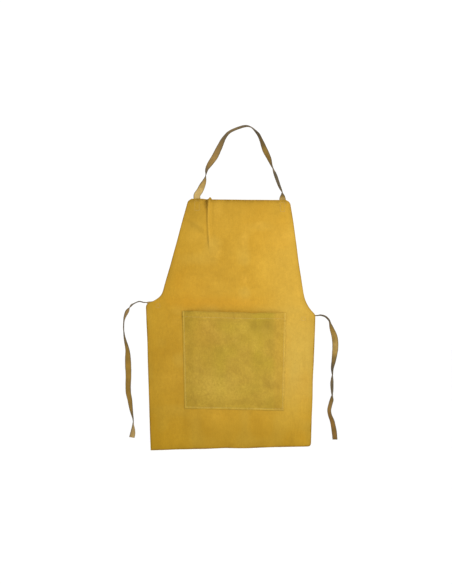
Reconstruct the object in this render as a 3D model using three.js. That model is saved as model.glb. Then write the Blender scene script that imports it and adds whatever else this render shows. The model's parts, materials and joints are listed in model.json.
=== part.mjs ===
// A split-hide welding apron that hangs by its neck strap. Millimetres, +Z up. The front
// faces -Y, and +X is on the right of someone who looks at the front. The origin is the
// point where the neck strap lies over its hook.
import * as THREE from "three";

// ---- Leather and thread -----------------------------------------------------------
const HIDE_THICK = 1.8;         // split hide of the apron and of its pocket
const STRAP_THICK = 2;          // harder leather of the strap and the ties
const STRAP_WIDE = 24;          // width of the strap and the ties
const THREAD_THICK = 1;
const TOUCH = 0.3;              // clearance between pieces that lie on each other
const BEND_SLACK = 2.5;         // clearance where the strap bends at its seams

// ---- Apron panel ------------------------------------------------------------------
const LOOP_RISE = 264;          // from the bib's top edge up to the hook
const APRON_TALL = 904;         // bib top to hem, at the left side
const PANEL_X = -52;            // middle of the apron, from the hook
const BIB_WIDE = 374.5;         // bib at its top edge
const BIB_LEAN = 29.75;         // how far the bib's top stands to the right
const BIB_BASE_WIDE = 507;      // bib where the armholes start
const BASE_LEAN = 8.5;
const HIP_WIDE = 612;
const HEM_WIDE = 578;
const HEM_RISE = 14;            // the hem is hand cut, higher at the right
const CORNER_LIFT = 5;          // the strap pulls the bib's left corner up
const CORNER_ROUND = 18;
const CORNER_BLUNT = { inwards: 3, down: 2 };       // how far the round stays off a sharp corner
const HIP_ROUND = 16;
const LEFT_ARMHOLE = { hipDrop: 374, tall: 43 };
const RIGHT_ARMHOLE = { hipDrop: 410, tall: 80 };
const ARMHOLE_BOW = { outwards: 0.13, down: 0.62 }; // bend of its curve, as shares of its size

// ---- Pocket -----------------------------------------------------------------------
const POCKET_WIDE = 373;        // at the mouth
const POCKET_TAPER = 8;         // how much each side comes in at the bottom
const POCKET_TALL = 352;
const POCKET_DROP = 400;        // from the bib's top edge down to the mouth
const POCKET_TILT = 8;          // the mouth is lower at the right
const POCKET_SHIFT = 13;        // from the middle of the apron
const POCKET_GAPE = 8;          // how far the mouth stands open
const POCKET_SEAM = 10;         // flat border that is sewn down
const POCKET_RAMP = 26;         // from the sewn border to the open part
const SEAM_INSET = 5;           // pocket thread from the pocket's edge
const HEM_DEPTH = 21;           // row of thread under the mouth

// ---- Strap and ties ---------------------------------------------------------------
const STRAP_INSET_LEFT = 36;    // strap's middle from the bib's corner
const STRAP_INSET_RIGHT = 29.5;
const STRAP_END_TALL = 46;      // sewn length behind the bib
const STITCH_INSET = 4;         // box of thread from the edges of a sewn end
const TIE_STANDOFF = 6;         // the seam of a tie ends this far outside the hip
const TIE_CLEAR = 0.7;          // from a tie that stands on edge to the panel's back
const LEFT_TIE_DROP = -3.5;     // middle of a tie's seam below the hip
const RIGHT_TIE_DROP = 7.5;
const TIE_SLOPE_ROOM = 1.5;     // a tie's sewn end slopes, so its box of thread is narrower

const PANEL_BACK = HIDE_THICK / 2;
const BIB_LINE = -LOOP_RISE;
const END_Y = PANEL_BACK + TOUCH + STRAP_THICK / 2;
const TIE_Y = PANEL_BACK + TIE_CLEAR + STRAP_WIDE / 2;
const POCKET_Y = -(HIDE_THICK + TOUCH);
const CORNER_LEFT = PANEL_X + BIB_LEAN - BIB_WIDE / 2;
const CORNER_RIGHT = PANEL_X + BIB_LEAN + BIB_WIDE / 2;
const ROOT_LEFT_X = CORNER_LEFT + STRAP_INSET_LEFT;
const ROOT_RIGHT_X = CORNER_RIGHT - STRAP_INSET_RIGHT;
const LEFT_HIP_X = PANEL_X - HIP_WIDE / 2;
const RIGHT_HIP_X = PANEL_X + HIP_WIDE / 2;

// Neck strap, from each seam up to the hook: share of the seam's X, share of its drop, and
// the twist in degrees, where 0 shows its face to the front and 90 shows its edge.
const STRAP_LEFT_LEG = [
  [1, 1, 0], [1, 0.95, 2], [0.944, 0.889, 10], [0.885, 0.81, 35], [0.844, 0.745, 62],
  [0.818, 0.667, 88], [0.794, 0.589, 118], [0.715, 0.5, 150], [0.627, 0.412, 165],
  [0.529, 0.278, 150], [0.429, 0.144, 122], [0.296, 0.054, 113],
];
const STRAP_TOP = [[-2, 4, 112]];
const STRAP_RIGHT_LEG = [
  [0.173, 0.004, 94], [0.343, 0.087, 74], [0.428, 0.174, 66], [0.534, 0.316, 34],
  [0.641, 0.425, 48], [0.726, 0.534, 86], [0.809, 0.644, 112], [0.915, 0.797, 108],
  [0.99, 0.892, 80], [1, 0.945, 30], [1, 1, 0],
];

// A tie, from the outside of the hip: outwards, backwards, up, and the twist in degrees.
const LEFT_TIE = [
  [0, 0, 0, 88], [6, 0, 0.6, 87], [20, -1, 3.4, 86], [37, -2, -3.5, 84],
  [50, -2, -13, 76], [62, -1, -31, 116], [70.5, 0, -52, 104], [74.5, 1, -71, 91],
  [75.5, 2, -96, 88], [72.6, 3, -121, 76], [68.4, 3, -142, 64], [62, 2, -173, 47],
  [60, 0, -214, 22], [58, -2, -266, 30], [59, -3, -299, 36], [58, -2, -327, 34],
  [52.7, 0, -354, 42], [47.3, 2, -391, 60], [41.5, 3, -419, 78], [40.8, 2, -439, 92],
  [40.8, 1, -456, 114], [42.6, 0, -474, 135], [46, -1, -489, 140],
];
const RIGHT_TIE = [
  [0, 0, 0, 88], [6, 0, 0.6, 86], [15, -1, 2, 82], [32, -2, -3, 80], [44.7, -2, -15.6, 80],
  [49, -1, -26, 80], [55, 0, -48.5, 55], [65.3, 1, -79.6, 35], [67.4, 2, -115, 30],
  [63, 2, -156.6, 55], [58, 2, -187.7, 78], [57.6, 1, -208.3, 92], [56.9, 0, -230, 110],
  [55.9, -1, -248.4, 115], [56.9, -1, -275.8, 104], [56.9, 0, -289, 90],
  [56, 1, -303, 66], [50.5, 2, -322, 60], [46, 2, -342, 60], [48.5, 1, -361, 58],
  [56.5, 0, -384, 50], [62.4, -1, -414.2, 45], [66, -1, -449.3, 45],
];
// The sewn end of a tie, from its exit back behind the hip: inwards, share of the way
// towards the panel, down, and the twist in degrees.
const TIE_END = [
  [0, 0, 0, 88], [6, 0, 0, 88], [14, 0.04, 1.4, 68], [22, 0.3, 3.6, 40], [30, 0.7, 6, 14],
  [34, 0.9, 7.2, 5], [38, 0.985, 8.4, 0], [49, 1, 10.8, 0], [60, 1, 13, 0],
];

const smooth = (t) => THREE.MathUtils.smoothstep(t, 0, 1);
const mix = THREE.MathUtils.lerp;

function leather(color, roughness) {
  return new THREE.MeshStandardMaterial({ color, roughness, metalness: 0 });
}
const hide = () => leather(0xcfa03a, 0.92);
const fleshHide = () => leather(0xbf9f3e, 0.97);
const strapLeather = () => leather(0xa98445, 0.85);
const thread = () => leather(0xd9c07a, 0.7);

// ---- Meshes -----------------------------------------------------------------------
function closedGeometry(points, faces) {
  const geometry = new THREE.BufferGeometry();
  geometry.setAttribute("position", new THREE.Float32BufferAttribute(points.flat(), 3));
  geometry.setIndex(faces.flat());
  geometry.computeVertexNormals();
  return geometry;
}

// A sheet over a grid of shares. place(u, v) gives the middle of the leather, with u to the
// right and v down, and the two faces stand half the thickness before and behind it.
function sheet(across, down, place, thick) {
  const points = [];
  const faces = [];
  for (const side of [-1, 1]) {
    for (const v of down) {
      for (const u of across) {
        const [x, y, z] = place(u, v);
        points.push([x, y + side * thick / 2, z]);
      }
    }
  }
  const columns = across.length;
  const rows = down.length;
  const front = (i, j) => j * columns + i;
  const back = (i, j) => front(i, j) + columns * rows;
  const quad = (a, b, c, d) => faces.push([a, b, c], [a, c, d]);
  for (let j = 0; j < rows - 1; j += 1) {
    for (let i = 0; i < columns - 1; i += 1) {
      quad(front(i, j), front(i, j + 1), front(i + 1, j + 1), front(i + 1, j));
      quad(back(i, j), back(i + 1, j), back(i + 1, j + 1), back(i, j + 1));
    }
  }
  for (let i = 0; i < columns - 1; i += 1) {
    quad(front(i, 0), front(i + 1, 0), back(i + 1, 0), back(i, 0));
    quad(front(i + 1, rows - 1), front(i, rows - 1), back(i, rows - 1), back(i + 1, rows - 1));
  }
  for (let j = 0; j < rows - 1; j += 1) {
    quad(front(0, j + 1), front(0, j), back(0, j), back(0, j + 1));
    quad(front(columns - 1, j), front(columns - 1, j + 1), back(columns - 1, j + 1),
      back(columns - 1, j));
  }
  return closedGeometry(points, faces);
}

// Sides of a strip's section, anticlockwise: [across, through] from its middle.
const STRIP_SECTION = [[-1, -1], [0, -1], [1, -1], [1, 1], [0, 1], [-1, 1]];

// A strip of leather along a route of [x, y, z, twist in degrees].
function strip(route, wide, thick, stepsEach = 3) {
  const line = new THREE.CatmullRomCurve3(
    route.map(([x, y, z]) => new THREE.Vector3(x, y, z)), false, "catmullrom");
  const twists = new THREE.CatmullRomCurve3(
    route.map((point) => new THREE.Vector3(point[3], 0, 0)), false, "catmullrom");
  const steps = (route.length - 1) * stepsEach;
  const points = [];
  for (let k = 0; k <= steps; k += 1) {
    const t = k / steps;
    const middle = line.getPoint(t);
    const along = line.getTangent(t);
    const flat = new THREE.Vector3().crossVectors(along, new THREE.Vector3(0, 1, 0));
    flat.normalize();
    const deep = new THREE.Vector3().crossVectors(flat, along);
    const twist = THREE.MathUtils.degToRad(twists.getPoint(t).x);
    const side = flat.clone().multiplyScalar(Math.cos(twist));
    side.addScaledVector(deep, -Math.sin(twist));
    const face = new THREE.Vector3().crossVectors(along, side);
    for (const [across, through] of STRIP_SECTION) {
      const corner = middle.clone().addScaledVector(side, across * wide / 2);
      corner.addScaledVector(face, through * thick / 2);
      points.push(corner.toArray());
    }
  }
  return closedGeometry(points, loftFaces(STRIP_SECTION.length, steps));
}

// Faces between sections that follow each other, and over both ends. Both halves of a
// section are cut along the same diagonal, so the two sides of a twisted strip stay parallel.
function loftFaces(count, steps) {
  const faces = [];
  for (let k = 0; k < steps; k += 1) {
    for (let c = 0; c < count; c += 1) {
      const a = count * k + c;
      const b = count * k + (c + 1) % count;
      if (c < count / 2) faces.push([a, b, b + count], [a, b + count, a + count]);
      else faces.push([a, b, a + count], [b, b + count, a + count]);
    }
  }
  const last = count * steps;
  for (let c = 0; c < count / 2 - 1; c += 1) {
    const [p, q, r, s] = [c, c + 1, count - 2 - c, count - 1 - c];
    faces.push([p, r, q], [p, s, r]);
    faces.push([last + p, last + q, last + r], [last + p, last + r, last + s]);
  }
  return faces;
}

const THREAD_SECTION = [[-1, -1], [1, -1], [1, 1], [-1, 1]];

// A row of thread through points, with square corners.
function threadRow(points) {
  const half = THREAD_THICK / 2;
  const vertices = [];
  points.forEach(([x, y, z], k) => {
    const before = points[Math.max(k - 1, 0)];
    const after = points[Math.min(k + 1, points.length - 1)];
    const into = new THREE.Vector2(x - before[0], z - before[2]).normalize();
    const out = new THREE.Vector2(after[0] - x, after[2] - z).normalize();
    const along = into.clone().add(out).normalize();
    const reach = half / Math.max(along.dot(k === 0 ? out : into), 0.5);
    for (const [across, through] of THREAD_SECTION) {
      const aside = across * reach;
      vertices.push([x - aside * along.y, y - through * half, z + aside * along.x]);
    }
  });
  return closedGeometry(vertices, loftFaces(THREAD_SECTION.length, points.length - 1));
}

// ---- Outline of the apron ---------------------------------------------------------
// Top edge of the bib: the left corner, where the strap pulls, stands above the rest.
function topEdge(x) {
  const down = smooth((x - ROOT_LEFT_X - STRAP_WIDE / 4) / (1.6 * STRAP_WIDE));
  return BIB_LINE + CORNER_LIFT * (1 - down);
}

function sideOutline(sign, armhole) {
  const cornerX = sign < 0 ? CORNER_LEFT : CORNER_RIGHT;
  const cornerZ = topEdge(cornerX);
  const baseX = PANEL_X + BASE_LEAN + sign * BIB_BASE_WIDE / 2;
  const hipX = PANEL_X + sign * HIP_WIDE / 2;
  const hemX = PANEL_X + sign * HEM_WIDE / 2;
  const hipZ = BIB_LINE - armhole.hipDrop;
  const baseZ = hipZ + armhole.tall;
  const at = (x, z) => new THREE.Vector2(x, z);
  const corner = new THREE.QuadraticBezierCurve(
    at(cornerX - sign * CORNER_ROUND, cornerZ),
    at(cornerX - sign * CORNER_BLUNT.inwards, cornerZ - CORNER_BLUNT.down),
    at(cornerX, cornerZ - CORNER_ROUND));
  const hollow = new THREE.QuadraticBezierCurve(
    at(baseX, baseZ),
    at(mix(baseX, hipX, ARMHOLE_BOW.outwards), mix(baseZ, hipZ, ARMHOLE_BOW.down)),
    at(hipX - sign * HIP_ROUND / 4, hipZ));
  const hip = new THREE.QuadraticBezierCurve(
    at(hipX - sign * HIP_ROUND / 4, hipZ), at(hipX, hipZ - HIP_ROUND / 4),
    at(hipX, hipZ - HIP_ROUND));
  const hemZ = BIB_LINE - APRON_TALL;
  return [
    ...corner.getPoints(5), ...hollow.getPoints(10), ...hip.getPoints(4).slice(1),
    at(hemX, hemZ),
  ];
}

function outlineX(outline, z) {
  if (z >= outline[0].y) return outline[0].x;
  const after = outline.findIndex((point) => point.y <= z);
  if (after < 0) return outline.at(-1).x;
  const low = outline[after];
  const high = outline[after - 1];
  return mix(high.x, low.x, (high.y - z) / (high.y - low.y));
}

const LEFT_OUTLINE = sideOutline(-1, LEFT_ARMHOLE);
const RIGHT_OUTLINE = sideOutline(1, RIGHT_ARMHOLE);

function panelPoint(u, v) {
  const roughX = mix(CORNER_LEFT, CORNER_RIGHT, u);
  const hemZ = BIB_LINE - APRON_TALL + HEM_RISE * u;
  const z = mix(topEdge(roughX), hemZ, v);
  const x = mix(outlineX(LEFT_OUTLINE, z), outlineX(RIGHT_OUTLINE, z), u);
  return [x, 0, z];
}

function evenly(from, to, count) {
  return Array.from({ length: count }, (_, k) => mix(from, to, k / count));
}

// Rows lie closer together where the outline turns: the corners and the armholes.
function panelRows() {
  const armholeTop = (LEFT_ARMHOLE.hipDrop - LEFT_ARMHOLE.tall - HIP_ROUND / 2) / APRON_TALL;
  const armholeEnd = (RIGHT_ARMHOLE.hipDrop + HIP_ROUND) / APRON_TALL;
  const corner = CORNER_ROUND / APRON_TALL;
  return [
    ...evenly(0, corner, 4), ...evenly(corner, armholeTop, 8),
    ...evenly(armholeTop, armholeEnd, 18), ...evenly(armholeEnd, 1, 11), 1,
  ];
}

function apronPanel() {
  return sheet([...evenly(0, 1, 14), 1], panelRows(), panelPoint, HIDE_THICK);
}

// ---- Pocket -----------------------------------------------------------------------
function pocketPoint(u, v) {
  const half = POCKET_WIDE / 2 - POCKET_TAPER * v;
  const x = PANEL_X + POCKET_SHIFT + mix(-half, half, u);
  const z = BIB_LINE - POCKET_DROP - POCKET_TILT * u - POCKET_TALL * v;
  const toSide = 2 * half * Math.min(u, 1 - u);
  const toBottom = POCKET_TALL * (1 - v);
  const proud = smooth((Math.min(toSide, toBottom) - POCKET_SEAM) / POCKET_RAMP);
  return [x, POCKET_Y - POCKET_GAPE * proud, z];
}

// Shares of a size at the sewn border, over the ramp and across the open part.
function borderShares(size) {
  const seam = POCKET_SEAM / size;
  const open = (POCKET_SEAM + POCKET_RAMP) / size;
  return [0, seam, mix(seam, open, 0.33), mix(seam, open, 0.67), open];
}

function pocketColumns() {
  const left = borderShares(POCKET_WIDE);
  const open = left.at(-1);
  return [...left.slice(0, -1), ...evenly(open, 1 - open, 8), ...left.reverse().map((u) => 1 - u)];
}

function pocketRows() {
  const bottom = borderShares(POCKET_TALL).reverse().map((v) => 1 - v);
  return [...evenly(0, bottom[0], 8), ...bottom];
}

function pocketPanel() {
  return sheet(pocketColumns(), pocketRows(), pocketPoint, HIDE_THICK);
}

// The thread goes down one side, along the bottom and up the other side.
function pocketSeam(y) {
  const side = SEAM_INSET / POCKET_WIDE;
  const bottom = 1 - SEAM_INSET / POCKET_TALL;
  const mouth = THREAD_THICK / POCKET_TALL;
  return [[side, mouth], [side, bottom], [1 - side, bottom], [1 - side, mouth]].map(
    ([u, v]) => {
      const [x, , z] = pocketPoint(u, v);
      return [x, y, z];
    });
}

// The row under the mouth follows the pocket over its ramps, between the two side seams.
function pocketHemSeam(offset) {
  const v = HEM_DEPTH / POCKET_TALL;
  const inside = (u) => u > 0 && u < 1;
  return pocketColumns().filter(inside).map((u) => {
    const [x, y, z] = pocketPoint(u, v);
    return [x, y + offset, z];
  });
}

// ---- Strap and ties ---------------------------------------------------------------
function neckStrap() {
  const leg = (points, rootX) => {
    const drop = topEdge(rootX) + BEND_SLACK;
    return points.map(([across, down, twist]) => [across * rootX, END_Y, down * drop, twist]);
  };
  const top = STRAP_TOP.map(([x, z, twist]) => [x, END_Y, z, twist]);
  const route = [...leg(STRAP_LEFT_LEG, ROOT_LEFT_X), ...top, ...leg(STRAP_RIGHT_LEG, ROOT_RIGHT_X)];
  return strip(route, STRAP_WIDE, STRAP_THICK);
}

function strapEnd(rootX) {
  const geometry = new THREE.BoxGeometry(STRAP_WIDE, STRAP_THICK, STRAP_END_TALL);
  geometry.translate(rootX, END_Y, topEdge(rootX) - STRAP_END_TALL / 2);
  return geometry;
}

function tieExit(sign, armhole, exitDrop) {
  const hipX = sign < 0 ? LEFT_HIP_X : RIGHT_HIP_X;
  return [hipX + sign * TIE_STANDOFF, TIE_Y, BIB_LINE - armhole.hipDrop - exitDrop];
}
const LEFT_EXIT = tieExit(-1, LEFT_ARMHOLE, LEFT_TIE_DROP);
const RIGHT_EXIT = tieExit(1, RIGHT_ARMHOLE, RIGHT_TIE_DROP);

function tie(points, exit, sign) {
  const route = points.map(([out, back, up, twist]) => [
    exit[0] + sign * (out + TOUCH / 2), exit[1] + back, exit[2] + up, twist,
  ]);
  return strip(route, STRAP_WIDE, STRAP_THICK);
}

function tieEnd(exit, sign) {
  const route = TIE_END.map(([inwards, forward, down, twist]) => [
    exit[0] - sign * (inwards + TOUCH / 2), mix(exit[1], END_Y, forward), exit[2] - down, twist,
  ]);
  return strip(route, STRAP_WIDE, STRAP_THICK, 4);
}

// A box of thread that goes round once and stops just before it meets itself.
function stitchBox([left, right], [low, high], y) {
  const stop = THREAD_THICK * 2;
  return threadRow([
    [left, y, high - stop], [left, y, low], [right, y, low], [right, y, high],
    [left + stop, y, high],
  ]);
}

function strapStitch(rootX, y) {
  const half = STRAP_WIDE / 2 - STITCH_INSET;
  const high = topEdge(rootX) - 2 * STITCH_INSET;
  const low = topEdge(rootX) - STRAP_END_TALL + STITCH_INSET;
  return stitchBox([rootX - half, rootX + half], [low, high], y);
}

function tieStitch(exit, sign, y) {
  const [sewn, , drop] = TIE_END.at(-1);
  const [flatFrom] = TIE_END.at(-3);
  const ends = [sewn - STITCH_INSET, flatFrom + STITCH_INSET].map(
    (inwards) => exit[0] - sign * inwards);
  ends.sort((a, b) => a - b);
  const middle = exit[2] - drop + TIE_SLOPE_ROOM;
  const half = STRAP_WIDE / 2 - STITCH_INSET - TIE_SLOPE_ROOM;
  return stitchBox(ends, [middle - half, middle + half], y);
}

// ---- Assembly ---------------------------------------------------------------------
const apron = new THREE.Group();
function add(name, geometry, material) {
  const mesh = new THREE.Mesh(geometry, material);
  mesh.name = name;
  apron.add(mesh);
}

const THREAD_LIFT = TOUCH + THREAD_THICK / 2;
const NEEDLE_Y = -(HIDE_THICK / 2 + THREAD_LIFT);
const BOBBIN_Y = PANEL_BACK + THREAD_LIFT;
const END_BOBBIN_Y = END_Y + STRAP_THICK / 2 + THREAD_LIFT;
const POCKET_NEEDLE_Y = POCKET_Y - HIDE_THICK / 2 - THREAD_LIFT;
const HEM_LIFT = HIDE_THICK / 2 + 1.2 * THREAD_LIFT;    // a little more, for the ramps

add("apron_panel", apronPanel(), hide());
add("pocket_panel", pocketPanel(), fleshHide());
add("pocket_seam_needle_thread", threadRow(pocketSeam(POCKET_NEEDLE_Y)), thread());
add("pocket_seam_bobbin_thread", threadRow(pocketSeam(BOBBIN_Y)), thread());
add("pocket_hem_needle_thread", threadRow(pocketHemSeam(-HEM_LIFT)), thread());
add("pocket_hem_bobbin_thread", threadRow(pocketHemSeam(HEM_LIFT).slice(3, -3)), thread());
add("neck_strap", neckStrap(), strapLeather());
for (const [side, rootX] of [["left", ROOT_LEFT_X], ["right", ROOT_RIGHT_X]]) {
  add(`neck_strap_end_${side}`, strapEnd(rootX), strapLeather());
  add(`neck_strap_needle_thread_${side}`, strapStitch(rootX, NEEDLE_Y), thread());
  add(`neck_strap_bobbin_thread_${side}`, strapStitch(rootX, END_BOBBIN_Y), thread());
}
for (const [side, sign, exit, points] of [
  ["left", -1, LEFT_EXIT, LEFT_TIE], ["right", 1, RIGHT_EXIT, RIGHT_TIE],
]) {
  add(`${side}_tie`, tie(points, exit, sign), strapLeather());
  add(`${side}_tie_end`, tieEnd(exit, sign), strapLeather());
  add(`${side}_tie_needle_thread`, tieStitch(exit, sign, NEEDLE_Y), thread());
  add(`${side}_tie_bobbin_thread`, tieStitch(exit, sign, END_BOBBIN_Y), thread());
}

export default apron;
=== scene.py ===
"""Looks of a split-hide welding apron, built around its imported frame.

Metres, +Z up. The front faces -Y, and the origin is where the neck strap lies over its hook.
Each piece is laid out flat first, as the frame has it, and hang() then bends them all with
the leather, so what is sewn together stays together.
"""
import json
import math

import bpy
import numpy as np
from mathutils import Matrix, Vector


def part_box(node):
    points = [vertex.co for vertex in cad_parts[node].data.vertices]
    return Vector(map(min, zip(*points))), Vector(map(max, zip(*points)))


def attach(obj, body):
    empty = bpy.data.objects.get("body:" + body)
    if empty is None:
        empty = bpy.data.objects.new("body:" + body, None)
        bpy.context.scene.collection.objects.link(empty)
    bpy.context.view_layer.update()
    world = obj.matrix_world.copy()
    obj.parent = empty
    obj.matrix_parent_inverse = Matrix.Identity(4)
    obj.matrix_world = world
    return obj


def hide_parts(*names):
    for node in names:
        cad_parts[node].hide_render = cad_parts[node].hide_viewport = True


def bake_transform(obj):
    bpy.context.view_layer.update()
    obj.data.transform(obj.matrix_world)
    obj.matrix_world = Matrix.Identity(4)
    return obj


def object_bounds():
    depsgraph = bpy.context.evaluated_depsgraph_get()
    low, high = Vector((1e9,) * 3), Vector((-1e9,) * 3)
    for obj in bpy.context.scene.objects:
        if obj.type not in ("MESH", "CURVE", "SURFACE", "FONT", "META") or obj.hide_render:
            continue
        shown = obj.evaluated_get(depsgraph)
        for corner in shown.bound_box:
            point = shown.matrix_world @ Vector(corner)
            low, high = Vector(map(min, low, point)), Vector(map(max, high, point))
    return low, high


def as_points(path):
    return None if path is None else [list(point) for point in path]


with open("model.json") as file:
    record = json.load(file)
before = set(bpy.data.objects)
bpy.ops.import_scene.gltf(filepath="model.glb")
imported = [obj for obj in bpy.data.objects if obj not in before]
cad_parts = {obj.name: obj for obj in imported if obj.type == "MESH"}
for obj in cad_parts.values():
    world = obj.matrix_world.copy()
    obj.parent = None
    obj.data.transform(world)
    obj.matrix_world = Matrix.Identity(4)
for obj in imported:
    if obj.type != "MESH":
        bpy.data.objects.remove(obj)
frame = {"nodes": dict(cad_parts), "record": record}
CAD_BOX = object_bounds()

# ---- Sizes ----------------------------------------------------------------------------
HIDE_THICK = 0.0018
STRAP_THICK = 0.002
STRAP_WIDE = 0.024
THREAD_THICK = 0.001
TOUCH = 0.0003                  # between pieces that lie on each other
PANEL_BACK = HIDE_THICK / 2
END_Y = PANEL_BACK + TOUCH + STRAP_THICK / 2
POCKET_Y = -(HIDE_THICK + TOUCH)
CORNER_ROUND = 0.018            # corners of the bib
SEAM_INSET = 0.005              # pocket thread from the pocket's edge
HEM_STITCH = 0.021              # thread under the pocket's mouth
HEM_TURNED = 0.026              # leather turned in behind the mouth
HEM_FOLD = 0.00115              # radius of that fold
STITCH_INSET = 0.004            # box of thread from the edges of a sewn end
STITCH_PITCH = 0.0042
FACE_SUNK = 0.0004              # the pocket's thread lies that far into its face
BOX_GAP = 0.002                 # where a box of stitches ends beside its start
TIE_SLOPE_ROOM = 0.0015
EDGE_FINE = 0.0008              # narrow row of faces along a cut edge
EDGE_BULGE = 0.28               # how far a cut edge is rounded out, in thicknesses
EDGE_THIN = 0.3                 # and how much thinner the hide is there


def mix(a, b, share):
    return a + (b - a) * share


def smooth(t):
    t = np.clip(t, 0, 1)
    return t * t * (3 - 2 * t)


def hump(distance, width):
    return np.exp(-((distance / width) ** 2))


def unit(rows):
    return rows / np.maximum(np.linalg.norm(rows, axis=-1, keepdims=True), 1e-12)


def spot(x, z, at_x, at_z, wide, tall):
    """1 at a place, and less and less round it."""
    return hump(x - at_x, wide) * hump(z - at_z, tall)


def middle(node):
    """The middle of a node's box, and the box's two corners."""
    low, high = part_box(node)
    return (low + high) / 2, low, high


def joint(name, what="pos_m"):
    found = [j for j in frame["record"]["behaviour"]["joints"] if j["name"] == name]
    return np.array(found[0][what])


LEFT_ROOT, LEFT_ROOT_LOW, LEFT_ROOT_HIGH = middle("neck_strap_end_left")
RIGHT_ROOT, RIGHT_ROOT_LOW, RIGHT_ROOT_HIGH = middle("neck_strap_end_right")
LEFT_EXIT = joint("left_tie_swing")
RIGHT_EXIT = joint("right_tie_swing")
SEAM_PIVOT = joint("apron_swing")

# ---- Camera, light and floor ----------------------------------------------------------
CAMERA_AWAY = 5.0
CAMERA_X = -0.0687              # the picture's middle is a little left of the hook
CAMERA_Z = -0.5963
SEEN_TALL = 2.1106              # height of the picture at the apron
SENSOR = 36.0
FLOOR_DROP = 2.0                # floor below the hem
FLOOR_RADIUS = 60
WORLD_LIGHT = 1.04
# Area lights: name, place, power, size and color.
LIGHTS = [
    ("key", (1.7, -2.3, 0.75), 62, 1.1, (1.0, 0.985, 0.96)),
    ("back_fill", (-1.2, 2.6, 0.6), 30, 1.6, (1.0, 0.99, 0.97)),
]


def make_camera():
    data = bpy.data.cameras.new("camera")
    data.sensor_width = SENSOR
    data.lens = SENSOR * CAMERA_AWAY / SEEN_TALL
    camera = bpy.data.objects.new("camera", data)
    camera.location = (CAMERA_X, -CAMERA_AWAY, CAMERA_Z)
    camera.rotation_euler = (math.pi / 2, 0, 0)
    bpy.context.scene.collection.objects.link(camera)
    bpy.context.scene.camera = camera


def make_light(name, place, power, size, color):
    data = bpy.data.lights.new(name, "AREA")
    data.energy = power
    data.size = size
    data.color = color
    light = bpy.data.objects.new(name, data)
    light.location = place
    aim = Vector((CAMERA_X, 0, CAMERA_Z)) - Vector(place)
    light.rotation_euler = aim.to_track_quat("-Z", "Y").to_euler()
    bpy.context.scene.collection.objects.link(light)


def make_studio():
    world = bpy.data.worlds.new("studio")
    world.use_nodes = True
    world.node_tree.nodes["Background"].inputs["Color"].default_value = (1, 1, 1, 1)
    world.node_tree.nodes["Background"].inputs["Strength"].default_value = WORLD_LIGHT
    bpy.context.scene.world = world
    bpy.context.scene.view_settings.view_transform = "Standard"
    for light in LIGHTS:
        make_light(*light)
    floor_z = CAD_BOX[0].z - FLOOR_DROP
    bpy.ops.mesh.primitive_circle_add(
        vertices=96, radius=FLOOR_RADIUS, fill_type="NGON", location=(0, 0, floor_z))
    floor = bpy.context.object
    floor.name = "studio_floor"
    material, _, shader = new_material("studio_floor")
    shader.inputs["Base Color"].default_value = rgba(0.99, 0.99, 0.99)
    shader.inputs["Roughness"].default_value = 0.9
    floor.data.materials.append(material)


# ---- Materials ------------------------------------------------------------------------
def new_material(name):
    material = bpy.data.materials.new(name)
    material.use_nodes = True
    tree = material.node_tree
    return material, tree, tree.nodes["Principled BSDF"]


def node(tree, kind, settings=(), **inputs):
    made = tree.nodes.new(kind)
    for key, value in settings:
        setattr(made, key, value)
    for key, value in inputs.items():
        fill(tree, made.inputs[key.replace("_", " ")], value)
    return made


def fill(tree, socket, value):
    if isinstance(value, bpy.types.NodeSocket):
        tree.links.new(value, socket)
    else:
        socket.default_value = value


def mottle(tree, place, size, detail=3.0, roughness=0.55):
    """Soft noise, with lumps about that size in metres."""
    return node(tree, "ShaderNodeTexNoise", Vector=place, Scale=1 / size, Detail=detail,
                Roughness=roughness).outputs[0]


def spread(tree, value, low, high, to_low, to_high):
    """value from low..high to to_low..to_high, and no further."""
    made = node(tree, "ShaderNodeMapRange", Value=value)
    for key, number in zip(("From Min", "From Max", "To Min", "To Max"),
                           (low, high, to_low, to_high)):
        fill(tree, made.inputs[key], number)
    return made.outputs[0]


def blend_color(tree, share, a, b, how="MIX"):
    made = node(tree, "ShaderNodeMix", [("data_type", "RGBA"), ("blend_type", how)])
    for index, value in ((0, share), (6, a), (7, b)):
        fill(tree, made.inputs[index], value)
    return made.outputs[2]


def times(tree, a, b):
    made = node(tree, "ShaderNodeMath", [("operation", "MULTIPLY"), ("use_clamp", True)])
    fill(tree, made.inputs[0], a)
    fill(tree, made.inputs[1], b)
    return made.outputs[0]


def grey(tree, value):
    return node(tree, "ShaderNodeCombineColor", Red=value, Green=value, Blue=value).outputs[0]


def shaded(tree, color, *shares):
    """color times each of the shares."""
    for share in shares:
        color = blend_color(tree, 1.0, color, grey(tree, share), "MULTIPLY")
    return color


def bumps(tree, shader, *layers):
    """Bump from (height, distance) layers, coarse to fine."""
    normal = None
    for height, distance in layers:
        made = node(tree, "ShaderNodeBump", Strength=1.0, Distance=distance, Height=height)
        if normal is not None:
            fill(tree, made.inputs["Normal"], normal)
        normal = made.outputs[0]
    fill(tree, shader.inputs["Normal"], normal)


def rgba(red, green, blue):
    return (red, green, blue, 1.0)


def worn_shares(tree):
    """The soiled share (which also carries painted shade), and the warm, rubbed (which also carries a
    painted highlight) and yellowed shares that the leather's points carry.
    """
    wear = node(tree, "ShaderNodeAttribute", [("attribute_name", "wear")])
    split = node(tree, "ShaderNodeSeparateColor", Color=wear.outputs["Color"]).outputs
    return split[0], split[1], split[2], wear.outputs["Alpha"]


FIBRE = 0.0006                  # finest fibres of suede
BRUSHED = (1.0, 1.0, 0.16)      # strokes of the nap are long down the hide
LOW, LEFTWARD = -1.17, -0.36    # the hide is darker down there and on that side: painted shade, with a deeper tone low down
DEEPER = (1.0, 0.99, 0.55, 1.0)  # multiplies the hide's color there


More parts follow.
